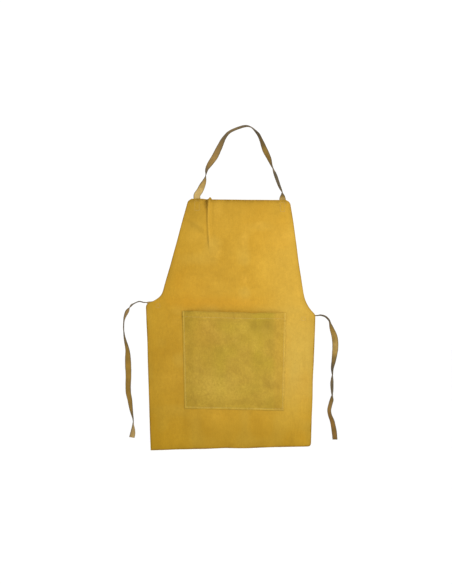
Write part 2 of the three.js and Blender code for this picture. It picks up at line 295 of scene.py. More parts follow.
def worn_hide(tree, dark, light, warm, yellow, patches, clumps):
    """Two tones of hide, then its yellowed, warm, soiled and rubbed parts; the soiled share also paints
    shade and the rubbed share a highlight.
    """
    soil_and_shade, warmed, rub_and_highlight, yellowed = worn_shares(tree)
    color = blend_color(tree, patches, dark, light)
    color = blend_color(tree, yellowed, color, yellow)
    color = blend_color(tree, warmed, color, warm)
    ragged = times(tree, soil_and_shade, spread(tree, clumps, 0.35, 0.6, 0.5, 1.2))
    color = blend_color(tree, ragged, color, shaded(tree, dark, 0.58))
    patchy = times(tree, rub_and_highlight, spread(tree, clumps, 0.3, 0.6, 0.5, 1.1))
    return blend_color(tree, patchy, color, rgba(*(1.3 * c + 0.015 for c in light[:3])))


def suede(name, dark, light, warm, yellow, patch, grain, relief, contrast=1.0):
    """Matte leather: brushed nap in two tones, stains, fine mottling, painted shade towards the hem and the
    left side, and a fibrous bump.
    """
    material, tree, shader = new_material(name)
    place = node(tree, "ShaderNodeTexCoord").outputs["Object"]
    patches = spread(tree, mottle(tree, place, patch, 5.0, 0.6), 0.3, 0.7, 0.0, 1.0)
    clumps = mottle(tree, place, grain, 4.0, 0.65)
    nap = mottle(tree, place, grain / 9, 2.0, 0.7)
    fibres = mottle(tree, place, FIBRE, 2.0, 0.7)
    brushed = node(tree, "ShaderNodeMapping", Vector=place, Scale=BRUSHED).outputs[0]
    strokes = mottle(tree, brushed, grain / 3, 3.0, 0.6)
    color = worn_hide(tree, dark, light, warm, yellow, patches, clumps)
    across, _, up = node(tree, "ShaderNodeSeparateXYZ", Vector=place).outputs
    for share in (spread(tree, up, LOW, -0.93, 0.75, 0.0), spread(tree, across, -0.34, -0.12, 0.5, 0.0)):
        color = blend_color(tree, share, color, DEEPER, "MULTIPLY")

    def around(value, swing):
        return spread(tree, value, 0.3, 0.7, 1 - swing * contrast, 1 + swing * contrast)

    shares = [
        around(clumps, 0.05), around(nap, 0.075), around(fibres, 0.05), around(strokes, 0.035),
        # painted shade: darker towards the left side and the hem, where less light falls
        spread(tree, across, LEFTWARD, 0.16, 0.86, 1.03),
        spread(tree, up, LOW, -0.62, 0.86, 1.0),
    ]
    fill(tree, shader.inputs["Base Color"], shaded(tree, color, *shares))
    fill(tree, shader.inputs["Roughness"], spread(tree, nap, 0.2, 0.8, 0.84, 0.99))
    shader.inputs["Specular IOR Level"].default_value = 0.1
    shader.inputs["Sheen Weight"].default_value = 0.06
    shader.inputs["Sheen Roughness"].default_value = 0.6
    shader.inputs["Sheen Tint"].default_value = light
    bumps(tree, shader, (clumps, relief), (strokes, relief / 3), (nap, relief / 3), (fibres, relief / 8))
    return material


def strap_side(name, color, warm, pale, soil_and_shade_tone):
    """Harder strap leather, streaked along its length, dark where hands and sweat soiled it, and painted
    dark as shade where it turns edge-on.
    """
    material, tree, shader = new_material(name)
    uv = node(tree, "ShaderNodeTexCoord").outputs["UV"]
    soil_and_shade, warmed, rub_and_highlight, _ = worn_shares(tree)
    streaked = node(tree, "ShaderNodeMapping", Vector=uv, Scale=(1.0, 0.22, 1.0)).outputs[0]
    streaks = mottle(tree, streaked, 0.005, 4.0, 0.6)
    patches = mottle(tree, uv, 0.022, 3.0)
    nap = mottle(tree, uv, 0.0012, 2.0, 0.7)
    patchy = times(tree, rub_and_highlight, spread(tree, patches, 0.3, 0.6, 0.75, 1.1))
    streaky = times(tree, soil_and_shade, spread(tree, streaks, 0.3, 0.65, 0.7, 1.15))
    made = color
    for share, over in ((warmed, warm), (patchy, pale), (streaky, soil_and_shade_tone)):
        made = blend_color(tree, share, made, over)
    made = shaded(tree, made, spread(tree, streaks, 0.3, 0.7, 0.88, 1.1),
                  spread(tree, patches, 0.3, 0.7, 0.88, 1.1), spread(tree, nap, 0.3, 0.7, 0.93, 1.07))
    fill(tree, shader.inputs["Base Color"], made)
    fill(tree, shader.inputs["Roughness"], spread(tree, streaks, 0.3, 0.7, 0.66, 0.88))
    shader.inputs["Specular IOR Level"].default_value = 0.16
    bumps(tree, shader, (patches, 0.0006), (streaks, 0.0003), (nap, 0.0001))
    return material


def cut_edge(name, color):
    """The cut through the leather, with fibres and layers."""
    material, tree, shader = new_material(name)
    place = node(tree, "ShaderNodeTexCoord").outputs["Object"]
    fibres = mottle(tree, place, 0.0015, 3.0, 0.7)
    patches = mottle(tree, place, 0.02, 2.0)
    made = shaded(tree, color, spread(tree, fibres, 0.3, 0.7, 0.8, 1.15),
                  spread(tree, patches, 0.3, 0.7, 0.85, 1.1))
    fill(tree, shader.inputs["Base Color"], made)
    shader.inputs["Roughness"].default_value = 0.95
    shader.inputs["Specular IOR Level"].default_value = 0.15
    bumps(tree, shader, (fibres, 0.0003))
    return material


def waxed_thread():
    material, tree, shader = new_material("waxed_thread")
    place = node(tree, "ShaderNodeTexCoord").outputs["Object"]
    fibres = mottle(tree, place, 0.0007, 2.0, 0.6)
    soiling = mottle(tree, place, 0.03, 3.0)
    made = shaded(tree, rgba(0.46, 0.31, 0.095), spread(tree, fibres, 0.3, 0.7, 0.82, 1.12),
                  spread(tree, soiling, 0.3, 0.7, 0.8, 1.1))
    fill(tree, shader.inputs["Base Color"], made)
    shader.inputs["Roughness"].default_value = 0.6
    bumps(tree, shader, (fibres, 0.0002))
    return material


# ---- How the leather hangs ------------------------------------------------------------
def rumple(x, z, size, seed):
    """Smooth noise from -1 to 1, with lumps about that size."""
    cells = 64
    lattice = np.random.default_rng(seed).uniform(-1, 1, (cells, cells))
    across, down = x / size, z / size
    i, k = np.floor(across).astype(int), np.floor(down).astype(int)
    s, t = smooth(across - i), smooth(down - k)

    def at(di, dk):
        return lattice[(i + di) % cells, (k + dk) % cells]

    return mix(mix(at(0, 0), at(1, 0), s), mix(at(0, 1), at(1, 1), s), t)


def waver(along, size, seed, shift=0.0):
    """The same noise along one line."""
    return rumple(along, 0 * along + shift, size, seed)


# Soft folds: from (x, z) to (x, z), half width, and how far back they go. A fold that stands
# forward has a height below 0.
FOLDS = [
    (-0.228, -0.318, -0.150, -0.366, 0.009, -0.0026),
    (-0.205, -0.345, -0.160, -0.385, 0.012, 0.0018),
    (-0.195, -0.290, -0.240, -0.430, 0.020, 0.0022),
    (0.135, -0.285, 0.095, -0.430, 0.022, -0.0016),
    (0.110, -0.300, 0.030, -0.360, 0.016, 0.0012),
    (-0.060, -0.300, -0.090, -0.520, 0.030, 0.0018),
    (0.020, -0.330, 0.045, -0.560, 0.034, -0.0018),
    (-0.300, -0.640, -0.205, -0.600, 0.016, -0.0022),
    (-0.305, -0.660, -0.235, -0.720, 0.020, 0.0018),
    (0.245, -0.690, 0.165, -0.640, 0.016, -0.0022),
    (0.240, -0.700, 0.180, -0.770, 0.020, 0.0018),
    (-0.292, -0.840, -0.300, -1.170, 0.026, -0.0040),
    (-0.228, -0.960, -0.236, -1.170, 0.022, 0.0034),
    (-0.150, -1.030, -0.142, -1.170, 0.022, -0.0030),
    (-0.075, -1.010, -0.070, -1.170, 0.020, 0.0036),
    (0.000, -1.040, 0.006, -1.170, 0.022, -0.0028),
    (0.085, -1.030, 0.098, -1.170, 0.024, 0.0030),
    (0.185, -0.930, 0.190, -1.170, 0.028, -0.0036),
]
TUCK_X = -0.1345                # crease under the left end of the neck strap
TUCK_TOP = -0.250
TUCK_END = -0.452
TUCK_FADE = 0.035
RIDGE_BESIDE = 0.0050           # the ridge lies that far right of the crease
RIDGE_HIGH = 0.0058
HOLLOW_END = -0.318             # hollow beside the crease, widest at the bib's edge
HOLLOW_DEEP = 0.0115
BELLY_X = -0.05                 # the leather stands furthest forward there
BELLY = 0.0062                  # and lies that far back at the hips


def fold_share(x, z, fold):
    x0, z0, x1, z1, width, height = fold
    along_x, along_z = x1 - x0, z1 - z0
    share = ((x - x0) * along_x + (z - z0) * along_z) / (along_x**2 + along_z**2)
    near = np.clip(share, 0, 1)
    away = np.hypot(x - x0 - near * along_x, z - z0 - near * along_z)
    ends = smooth(share * 3 + 0.35) * smooth((1.35 - share) * 3)
    return height * hump(away, width) * ends


def crease_x(z):
    return TUCK_X + 0.0028 * np.sin((z - TUCK_TOP) * 26 + 0.6)


def tuck(x, z):
    """(sideways, backwards) of the crease under the left end of the neck strap."""
    down = np.clip((TUCK_TOP - z) / (TUCK_TOP - TUCK_END), 0, 1)
    there = smooth((z - TUCK_END) / TUCK_FADE) * mix(1.0, 0.5, smooth(down * 1.6))
    beside = x - crease_x(z)
    left_flank = hump(np.minimum(beside - RIDGE_BESIDE, 0), 0.0030)
    right_flank = hump(np.maximum(beside - RIDGE_BESIDE, 0), 0.0075)
    ridge = -RIDGE_HIGH * there * left_flank * right_flank
    valley = there * (0.0016 * hump(beside - 0.0170, 0.0060) + 0.0014 * hump(beside + 0.004, 0.004))
    open_share = smooth((z - HOLLOW_END) / (TUCK_TOP - HOLLOW_END))
    hollow_wide = mix(0.005, 0.020, open_share)
    from_hollow = np.abs(beside + 0.002 + hollow_wide * 0.45)
    hollow = HOLLOW_DEEP * open_share * smooth(1 - from_hollow / hollow_wide)
    to_left = np.maximum(-(beside + 0.003), 0)
    lean = 0.030 * np.minimum(to_left, 0.12) * (1 - down)
    sideways = -0.0026 * there * hump(beside - 0.002, 0.006)
    return sideways, ridge + valley + hollow + lean


def sag(x, z):
    """(sideways, backwards) of the leather where its flat place is x, z."""
    back = BELLY * ((x - BELLY_X) / 0.3) ** 2 - 0.002
    lower = smooth((-0.62 - z) / 0.5)
    back = back + 0.0022 * np.sin(x / 0.052 + z * 5) * lower
    back = back + 0.0016 * np.sin(x / 0.085 + 1.1 - z * 7)
    back = back + 0.0014 * rumple(x, z, 0.11, 3) + 0.0006 * rumple(x, z, 0.036, 4)
    back = back + 0.00022 * rumple(x, z, 0.013, 5)
    for fold in FOLDS:
        back = back + fold_share(x, z, fold)
    sideways, tucked = tuck(x, z)
    return sideways, back + tucked


def hang(points):
    """Points of the flat layout, moved as the leather hangs."""
    moved = np.array(points, float)
    sideways, back = sag(moved[..., 0], moved[..., 2])
    moved[..., 0] += sideways
    moved[..., 1] += back
    return moved


# ---- Outline of the apron -------------------------------------------------------------
def cut_through(node_name):
    """span(axis, at) cuts the node there, and gives the ends of the cut along X or Z."""
    mesh = frame["nodes"][node_name].data
    ends = np.array([[mesh.vertices[i].co for i in edge.vertices] for edge in mesh.edges])
    a, b = ends[:, 0], ends[:, 1]

    def span(axis, at):
        rise = b[:, axis] - a[:, axis]
        hit = (np.abs(rise) > 1e-7) & ((a[:, axis] - at) * (b[:, axis] - at) <= 0)
        share = (at - a[hit, axis]) / rise[hit]
        other = mix(a[hit, 2 - axis], b[hit, 2 - axis], share)
        return other.min(), other.max()

    return span


def corner(node_name, right, up):
    """The corner of a node that is furthest to that side and that way up."""
    places = np.array([v.co for v in frame["nodes"][node_name].data.vertices])
    return places[np.argmax(right * places[:, 0] + up * places[:, 2])]


TOP_LEFT, TOP_RIGHT = LEFT_ROOT_HIGH.z, RIGHT_ROOT_HIGH.z
HEM_LEFT, HEM_RIGHT = corner("apron_panel", -1, -1), corner("apron_panel", 1, -1)
HEM_WIDE = HEM_RIGHT[0] - HEM_LEFT[0]
PANEL_CUT = cut_through("apron_panel")
MARGIN = 0.0002
SIDE_SAMPLES = 700
PANEL_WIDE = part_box("apron_panel")[1].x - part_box("apron_panel")[0].x


def side_curve(low, high, which):
    heights = np.linspace(low + MARGIN, high - MARGIN, SIDE_SAMPLES)
    sides = np.array([PANEL_CUT(2, z)[which] for z in heights])
    kernel = np.hanning(9)
    padded = np.pad(sides, 4, "edge")
    return heights, np.convolve(padded, kernel / kernel.sum(), "valid")


LEFT_SIDE = side_curve(HEM_LEFT[2], TOP_LEFT, 0)
RIGHT_SIDE = side_curve(HEM_RIGHT[2], TOP_RIGHT, 1)
BIB_LEFT = np.interp(TOP_LEFT - CORNER_ROUND, *LEFT_SIDE)
BIB_RIGHT = np.interp(TOP_RIGHT - CORNER_ROUND, *RIGHT_SIDE)
BIB_SLANT = 0.0030              # the top edge runs down to the right
PEAK_X = TUCK_X                 # point of the tuck above the top edge
PEAK_RISE = 0.0075
HEM_ROUND = 0.010               # the hem's right corner is cut round


def top_edge(x):
    down = smooth((x - LEFT_ROOT.x - STRAP_WIDE / 4) / (1.25 * STRAP_WIDE))
    right = TOP_RIGHT + BIB_SLANT * smooth((BIB_RIGHT - 0.03 - x) / (BIB_RIGHT - BIB_LEFT))
    return mix(TOP_LEFT, right, down) + PEAK_RISE * hump(x - PEAK_X, 0.0045)


def panel_flat(u, v):
    """Flat place (x, z) of the apron at a share u to the right and v down."""
    rough_x = mix(BIB_LEFT, BIB_RIGHT, u)
    hem = mix(HEM_LEFT[2], HEM_RIGHT[2], u) + 0.0016 * waver(u * 0.6, 0.09, 8)
    to_corner = np.clip(1 - (1 - u) * HEM_WIDE / HEM_ROUND, 0, 1)
    hem = hem + HEM_ROUND * (1 - np.sqrt(1 - to_corner**2))
    z = mix(top_edge(rough_x), hem, v)
    left = np.interp(z, *LEFT_SIDE) + 0.0009 * waver(z, 0.07, 6)
    right = np.interp(z, *RIGHT_SIDE) + 0.0009 * waver(z, 0.07, 7)
    return mix(left, right, u), z


# ---- Meshes ---------------------------------------------------------------------------
def make_piece(name, vertices, faces, materials, kinds=None, uvs=None):
    mesh = bpy.data.meshes.new(name)
    mesh.from_pydata(np.asarray(vertices).tolist(), [], faces)
    for material in materials:
        mesh.materials.append(material)
    if kinds is not None:
        mesh.polygons.foreach_set("material_index", kinds)
    mesh.polygons.foreach_set("use_smooth", [True] * len(mesh.polygons))
    if uvs is not None:
        corners = np.zeros(len(mesh.loops), int)
        mesh.loops.foreach_get("vertex_index", corners)
        layer = mesh.uv_layers.new(name="UVMap")
        layer.data.foreach_set("uv", np.asarray(uvs)[corners].astype(np.float32).ravel())
    mesh.validate()
    mesh.update()
    piece = bpy.data.objects.new(name, mesh)
    bpy.context.scene.collection.objects.link(piece)
    return piece


def set_wear(piece, rows):
    """Rows of (soiled with painted shade, warm, rubbed with painted highlight, yellowed) shares for the
    leather's material, one a point.
    """
    wear = piece.data.attributes.new("wear", "FLOAT_COLOR", "POINT")
    wear.data.foreach_set("color", np.clip(rows, 0, 1).astype(np.float32).ravel())


FRONT, BACK, EDGE = 0, 1, 2


def shell(name, front, back, materials, wear):
    """A closed sheet between two grids of points, (rows, columns, 3), with a rounded cut edge.
    The last argument is a grid of (soiled with painted shade, warm, rubbed with painted highlight, yellowed)
    shares."""
    rows, columns = front.shape[:2]
    count = rows * columns
    index = np.arange(count).reshape(rows, columns)

    def quads(grid):
        corners = (grid[:-1, :-1], grid[1:, :-1], grid[1:, 1:], grid[:-1, 1:])
        return np.stack([c.ravel() for c in corners], axis=1)

    round_edge = np.concatenate([index[0, :-1], index[:-1, -1], index[-1, :0:-1], index[:0:-1, 0]])
    on_edge = np.stack(np.unravel_index(round_edge, (rows, columns)), 1)
    inner = np.clip(on_edge, 1, [rows - 2, columns - 2])
    centre = (front + back) / 2
    rim = centre.reshape(-1, 3)[round_edge]
    outwards = unit(rim - centre[inner[:, 0], inner[:, 1]])
    rim = rim + outwards * np.linalg.norm(front - back, axis=2).mean() * EDGE_BULGE
    vertices = np.concatenate([front.reshape(-1, 3), back.reshape(-1, 3), rim])
    middle_ring = np.arange(len(rim)) + 2 * count
    after = np.roll(np.arange(len(rim)), -1)
    front_band = np.stack([round_edge, round_edge[after], middle_ring[after], middle_ring], 1)
    back_band = np.stack([middle_ring, middle_ring[after], round_edge[after] + count, round_edge + count], 1)
    front_faces, back_faces = quads(index), quads(index + count)[:, ::-1]
    faces = np.concatenate([front_faces, back_faces, front_band, back_band])
    kinds = [FRONT] * len(front_faces) + [BACK] * len(back_faces) + [EDGE] * (2 * len(rim))
    piece = make_piece(name, vertices, faces.tolist(), materials, kinds)
    worn_and_shaded = wear.reshape(-1, 4)
    set_wear(piece, np.concatenate([worn_and_shaded, worn_and_shaded, worn_and_shaded[round_edge]]))
    return piece


def lines_between(*stops):
    """Grid lines from (place, spacing) stops: each spacing holds up to the next stop."""
    lines = []
    for (start, step), (end, _) in zip(stops, stops[1:]):
        count = max(1, round((end - start) / step))
        lines += [mix(start, end, k / count) for k in range(count)]
    return np.array(lines + [stops[-1][0]])


def apron_wear(x, z, to_edge, to_top):
    """Soiled edges, painted shade in the tuck's crease, its hollow and the bib's upper left, warm stains,
    rubbed patches with a painted highlight on the tuck's ridge, and yellowed parts of the hide.
    """
    crease = smooth((z - TUCK_END) / TUCK_FADE)
    wedge = smooth((z - HOLLOW_END) / (TUCK_TOP - HOLLOW_END))
    beside = x - crease_x(z)
    edges = 0.80 * smooth(1 - to_edge / 0.0065) + 0.20 * smooth(1 - to_edge / 0.03)
    soil_and_shade = edges * (0.85 + 0.35 * rumple(x, z, 0.04, 50)) + 0.35 * smooth(1 - to_top / 0.016)
    # painted shade in the crease and in the hollow beside it
    soil_and_shade = soil_and_shade + 0.30 * crease * hump(beside, 0.0032) + 0.55 * wedge * hump(beside + 0.006, 0.0085)
    soil_and_shade = soil_and_shade + 0.18 * smooth((z + 0.37) / 0.11) + 0.25 * spot(x, z, 0.135, -0.275, 0.04, 0.04)
    # painted shade on the bib's upper left, where the leather turns away from the light
    soil_and_shade = soil_and_shade + 0.24 * spot(x, z, -0.185, -0.32, 0.04, 0.075)
    soil_and_shade = soil_and_shade + 0.24 * smooth((-1.03 - z) / 0.09) * smooth((x + 0.26) / 0.2)
    soil_and_shade = soil_and_shade + 0.14 * np.maximum(rumple(x, z, 0.024, 51) - 0.5, 0) / 0.5
    warm = 0.60 * spot(x, z, -0.24, -0.585, 0.085, 0.075) * (0.8 + 0.4 * rumple(x, z, 0.03, 52))
    over_mouth = hump(z + 0.634, 0.022) * smooth((x + 0.3) / 0.1) * smooth((0.09 - x) / 0.1)
    warm = warm + 0.55 * over_mouth + 0.30 * np.maximum(rumple(x, z, 0.07, 54) - 0.25, 0)
    rub_and_highlight = 0.35 * np.maximum(rumple(x, z, 0.05, 53) - 0.45, 0)
    # painted highlight along the lit ridge right of the crease
    rub_and_highlight = rub_and_highlight + 0.30 * crease * hump(beside - 0.0055, 0.003)
    right_half = smooth((x - 0.03) / 0.13) * smooth((-0.30 - z) / 0.1) * smooth((z + 1.13) / 0.16)
    yellowed = right_half * (0.30 + 0.5 * hump(z + 0.82, 0.15))
    yellowed = yellowed + 0.5 * np.maximum(rumple(x, z, 0.06, 55) - 0.2, 0)
    return np.stack([soil_and_shade, warm, rub_and_highlight, yellowed], axis=-1)


def make_apron(materials):
    wide, tall = PANEL_WIDE, TOP_LEFT - HEM_LEFT[2]
    fine_u, fine_v = EDGE_FINE / wide, EDGE_FINE / tall
    across = lines_between(
        (0, fine_u), (fine_u, 0.0022 / wide), (0.02, 0.0044 / wide), (0.165, 0.0019 / wide),
        (0.315, 0.0044 / wide), (0.98, 0.0022 / wide), (1 - fine_u, fine_u), (1, 0))
    down = lines_between(
        (0, fine_v), (fine_v, 0.0025 / tall), (0.09, 0.0042 / tall), (0.975, 0.0030 / tall),
        (1 - fine_v, fine_v), (1, 0))
    u, v = np.meshgrid(across, down)
    x, z = panel_flat(u, v)
    flat = np.stack([x, np.zeros_like(x), z], axis=-1)
    to_edge = np.minimum(np.minimum(u, 1 - u) * wide, np.minimum(v, 1 - v) * tall)
    flat[..., 1] = 0.0022 * smooth(1 - to_edge / 0.03) * rumple(x + z, x - z, 0.055, 9)
    half = np.array([0, HIDE_THICK / 2, 0]) * (1 - EDGE_THIN * (to_edge < EDGE_FINE / 2))[..., None]
    wear = apron_wear(x, z, to_edge, v * tall)
    piece = shell("apron_hide", hang(flat - half), hang(flat + half), materials, wear)
    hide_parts("apron_panel")
    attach(piece, "apron")


# ---- Pocket ---------------------------------------------------------------------------
POCKET_CORNERS = [corner("pocket_panel", r, up) for up in (1, -1) for r in (-1, 1)]
POCKET_WIDE = POCKET_CORNERS[1][0] - POCKET_CORNERS[0][0]
POCKET_TALL = POCKET_CORNERS[0][2] - POCKET_CORNERS[2][2]
POCKET_FLAT_BORDER = 0.010
POCKET_RAMP = 0.030
MOUTH_DIP_X = 0.033             # the mouth sags a little right of the middle
SKIVED = 0.9                    # the borders are pared thinner, from the front
SKIVED_WIDE = 0.004
GROOVE_DEEP = 0.00025           # the thread pulls the pocket's face in
GROOVE_WIDE = 0.0017


def to_border(u, drop):
    """How far a place on the pocket is from its nearest sewn border."""
    return np.minimum(POCKET_WIDE * np.minimum(u, 1 - u), POCKET_TALL - drop)


def pocket_middle(u, drop):
    """Middle of the pocket's front layer, flat: share u to the right, drop under the mouth."""
    v = drop / POCKET_TALL
    top_left, top_right, low_left, low_right = POCKET_CORNERS
    x = mix(mix(top_left[0], top_right[0], u), mix(low_left[0], low_right[0], u), v)
    z = mix(mix(top_left[2], top_right[2], u), mix(low_left[2], low_right[2], u), v)
    border = to_border(u, drop)
    inside = smooth((border - POCKET_FLAT_BORDER) / POCKET_RAMP)
    mouth = np.exp(-np.maximum(drop, 0) / 0.10)
    dip = hump(x - MOUTH_DIP_X, 0.020) * np.exp(-np.maximum(drop, 0) / 0.03)
    z = z - 0.0028 * dip - 0.0016 * mouth * np.sin(math.pi * u)
    proud = inside * (0.0016 + 0.0048 * mouth + 0.0016 * dip)
    proud = proud + inside * (0.0011 * (1 + rumple(x, z, 0.05, 12)) + 0.0005 * rumple(x, z, 0.018, 13))
    turned = smooth((HEM_TURNED + 0.008 - drop) / 0.007) * 2 * HEM_FOLD
    loose_edge = 0.0005 * smooth(1 - border / SEAM_INSET) * (1 + rumple(x, z, 0.022, 14))
    return x, POCKET_Y - turned - proud - loose_edge, z


def seam_groove(u, drop):
    """How deep the thread pulls the pocket's face in."""
    to_seam = np.abs(to_border(u, drop) - SEAM_INSET)
    to_side = POCKET_WIDE * np.minimum(u, 1 - u)
    to_hem = np.where(to_side > SEAM_INSET, np.abs(drop - HEM_STITCH), 1.0)
    return GROOVE_DEEP * (hump(to_seam, GROOVE_WIDE) + hump(to_hem, GROOVE_WIDE))


def pocket_wear(u, drop, x, z):
    """Rubbed borders, warm stains, darker, oily patches of the pocket, and painted shade along its mouth."""
    blotches = rumple(x, z, 0.03, 61) + 0.5 * rumple(x, z, 0.012, 64)
    soil_and_shade = 0.42 * spot(x, z, 0.075, -0.715, 0.045, 0.035) * (0.8 + 0.5 * rumple(x, z, 0.03, 60))
    # the last term is painted shade along the pocket's mouth
    soil_and_shade = soil_and_shade + 0.26 * np.maximum(blotches - 0.2, 0) + 0.30 * smooth(1 - drop / 0.008)
    warm = 0.35 * smooth((x - 0.095) / 0.02) + 0.5 * spot(x, z, -0.16, -0.75, 0.06, 0.09)
    rub_and_highlight = 0.75 * smooth(1 - to_border(u, drop) / 0.0075) * (0.75 + 0.4 * rumple(x, z, 0.02, 62))
    rub_and_highlight = rub_and_highlight + 0.30 * np.maximum(rumple(x, z, 0.035, 63) - 0.35, 0)
    rub_and_highlight = rub_and_highlight + 0.45 * spot(x, z, -0.105, -0.945, 0.085, 0.055)
    yellowed = np.maximum(0.25 + 0.6 * rumple(x, z, 0.045, 65), 0)
    yellowed = yellowed + 0.5 * spot(x, z, 0.06, -0.72, 0.06, 0.06)
    return np.stack([soil_and_shade, warm, rub_and_highlight, yellowed], axis=-1)


POCKET_EDGE = [0, EDGE_FINE, 0.0025, 0.0038, 0.005, 0.0062, 0.0078, 0.010]
HEM_ROWS = [0.0, EDGE_FINE, 0.003, 0.0045, 0.0055, 0.0075, 0.011, 0.015, 0.019, 0.0235]
HEM_FOLD_STEPS = 6


def pocket_rows():
    """Rows of (drop, how far behind the front layer, facing) from the end of the turned-in hem,
    over the fold at the mouth and down the front. facing is 1 backwards and -1 forwards."""
    turned = [(HEM_TURNED - step, 2 * HEM_FOLD, 1.0) for step in HEM_ROWS]
    over = []
    for k in range(HEM_FOLD_STEPS + 1):
        angle = math.pi * (1 - k / HEM_FOLD_STEPS)
        facing = -math.cos(angle)
        over.append((HEM_FOLD * (1 - math.sin(angle)), HEM_FOLD * (1 + facing), facing))
    down = list(np.arange(0.003, 0.0185, 0.0035)) + [0.0192, 0.0204, 0.0216, 0.0230, 0.026]
    down += list(np.linspace(0.030, POCKET_TALL - 0.012, 74))
    down += list(POCKET_TALL - np.array(POCKET_EDGE)[::-1])
    return np.array(turned + over + [(drop, 0.0, -1.0) for drop in down])


def make_pocket(materials):
    sides = np.array(POCKET_EDGE) / POCKET_WIDE
    between = np.linspace(sides[-1], 1 - sides[-1], 84)
    across = np.concatenate([sides[:-1], between, (1 - sides[:-1])[::-1]])
    drops, behind, facing = (column[:, None] for column in pocket_rows().T)
    upward = np.sqrt(np.maximum(1 - facing**2, 0))
    u, drop = np.meshgrid(across, drops[:, 0])
    x, y, z = pocket_middle(u, drop)
    centre = np.stack([x, y + behind, z], axis=-1)
    normal = np.stack([np.zeros_like(x), facing + 0 * x, upward + 0 * x], axis=-1)
    border = to_border(u, drop)
    half = HIDE_THICK / 2 * (1 - EDGE_THIN * (border < EDGE_FINE / 2))
    skived = SKIVED * smooth(1 - border / SKIVED_WIDE)
    outer = half * (1 - skived) - np.where(facing < -0.99, seam_groove(u, drop), 0)
    front = hang(centre + normal * outer[..., None])
    back = hang(centre - normal * half[..., None])
    piece = shell("pocket_hide", front, back, materials, pocket_wear(u, drop, x, z))
    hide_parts("pocket_panel")
    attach(piece, "apron")


# ---- Thread ---------------------------------------------------------------------------
def lengths_along(points):
    steps = np.linalg.norm(np.diff(points, axis=0), axis=1)
    return np.concatenate([[0], np.cumsum(steps)])


def columns_at(at, lengths, rows):
    """The rows of numbers, read at other lengths along their line."""
    return np.stack([np.interp(at, lengths, column) for column in rows.T], -1)


STITCH_RINGS, STITCH_SIDES = 7, 8
STITCH_SHARE = 0.88             # of the pitch, the rest is the gap between two stitches
STITCH_BULGE = 0.00062          # a stitch rises that far in its middle
STITCH_SUNK = 0.00032           # and its ends are pulled in that far
STITCH_ENDS = 0.62              # width of its ends, as a share of its middle's
STITCH_SQUASH = 0.85
STITCH_LEAN = 0.05


def stitch_faces(start):
    """Faces of one stitch whose points begin at that index."""
    sides = STITCH_SIDES
    last = start + (STITCH_RINGS - 1) * sides
    faces = []
    for ring_start in range(start, last, sides):
        for side in range(sides):
            a, b = ring_start + side, ring_start + (side + 1) % sides
            faces.append([a, b, b + sides, a + sides])
    faces.append([start + side for side in reversed(range(sides))])
    faces.append([last + side for side in range(sides)])
    return faces


def stitch_row(name, path, outwards, replaced):
    """Stitches along a path that lies on the leather's face, in the flat layout. outwards is
    -1 on the front and 1 on the back."""
    lengths = lengths_along(path)
    count = int(lengths[-1] // STITCH_PITCH)
    pitch = lengths[-1] / count
    shares = np.linspace(0, 1, STITCH_RINGS)
    arch = np.sin(math.pi * shares)
    radius = THREAD_THICK / 2 * (STITCH_ENDS + (1 - STITCH_ENDS) * arch)
    angles = 2 * math.pi * np.arange(STITCH_SIDES) / STITCH_SIDES
    lean = np.random.default_rng(len(name)).normal(0, STITCH_LEAN, count)
    vertices, faces = [], []
    for k in range(count):
        centres = columns_at((k + (1 - STITCH_SHARE) / 2 + STITCH_SHARE * shares) * pitch, lengths, path)
        aside = np.cross(unit(centres[-1] - centres[0]), (0, 1, 0))
        centres = centres + np.outer((shares - 0.5) * lean[k] * pitch, aside)
        centres[:, 1] += outwards * (STITCH_BULGE * arch - STITCH_SUNK)
        round_it = np.outer(np.cos(angles), aside)
        round_it[:, 1] += STITCH_SQUASH * np.sin(angles)
        faces += stitch_faces(len(vertices))
        vertices += [centres[ring] + radius[ring] * out for ring in range(STITCH_RINGS) for out in round_it]
    piece = make_piece(name, hang(np.array(vertices)), faces, [THREAD])
    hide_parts(replaced)
    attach(piece, "apron")


def polyline(corners, step=0.001):
    points = []
    for a, b in zip(corners, corners[1:]):
        a, b = np.array(a, float), np.array(b, float)
        count = max(2, int(np.linalg.norm(b - a) / step))
        points += [mix(a, b, k / count) for k in range(count)]
    return np.array(points + [np.array(corners[-1], float)])


def pocket_path(corners, lift):
    """A path of (share to the right, drop) corners, behind the pocket's middle by lift."""
    line = polyline([(u * POCKET_WIDE, drop) for u, drop in corners])
    x, y, z = pocket_middle(line[:, 0] / POCKET_WIDE, line[:, 1])
    return np.stack([x, y + lift, z], axis=-1)


def make_pocket_thread():
    side, low = SEAM_INSET / POCKET_WIDE, POCKET_TALL - SEAM_INSET
    top = 2 * HEM_FOLD
    face = FACE_SUNK - HIDE_THICK / 2
    inside = 2 * HEM_FOLD + HIDE_THICK / 2
    seam = [(side, top), (side, low), (1 - side, low), (1 - side, top)]
    on_face = pocket_path(seam, face)
    on_back = on_face * [1, 0, 1] + [0, PANEL_BACK, 0]
    stitch_row("pocket_seam_needle_stitches", on_face, -1, "pocket_seam_needle_thread")
    stitch_row("pocket_seam_bobbin_stitches", on_back, 1, "pocket_seam_bobbin_thread")
    hem = [(1.6 * side, HEM_STITCH), (1 - 1.6 * side, HEM_STITCH)]
    stitch_row("pocket_hem_needle_stitches", pocket_path(hem, face), -1, "pocket_hem_needle_thread")
    stitch_row("pocket_hem_bobbin_stitches", pocket_path(hem, inside), 1, "pocket_hem_bobbin_thread")


